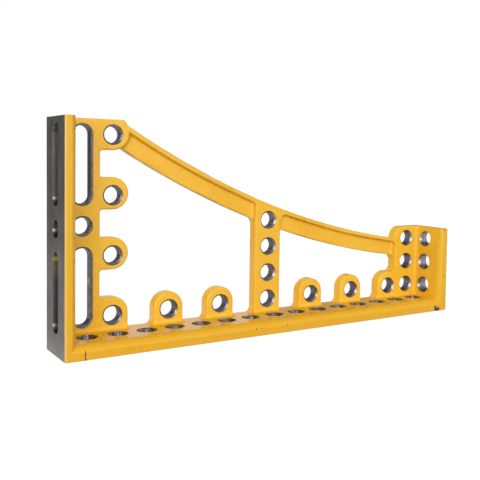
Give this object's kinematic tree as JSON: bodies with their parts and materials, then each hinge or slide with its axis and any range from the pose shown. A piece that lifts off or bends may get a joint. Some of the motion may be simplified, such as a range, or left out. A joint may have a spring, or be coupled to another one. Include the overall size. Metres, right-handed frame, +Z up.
{
  "type": "welding table angle",
  "caption": "Cast L-shaped welding table angle with a pierced base, a tall slotted leg, a short end wall and a curved lipped rib over an eyed web.",
  "frame": {"origin": "middle of the bottom face", "axes": "+X along the base from the tall leg to the short end wall, +Y from the open front to the web at the back, +Z up"},
  "size_m": [0.8, 0.1, 0.375],
  "materials": {
    "yellow_paint": "glossy enamel on a sand-cast surface, with bare machined outer faces and bores"
  },
  "bodies": {
    "root": {"angle_casting": "yellow_paint"}
  },
  "joints": []
}
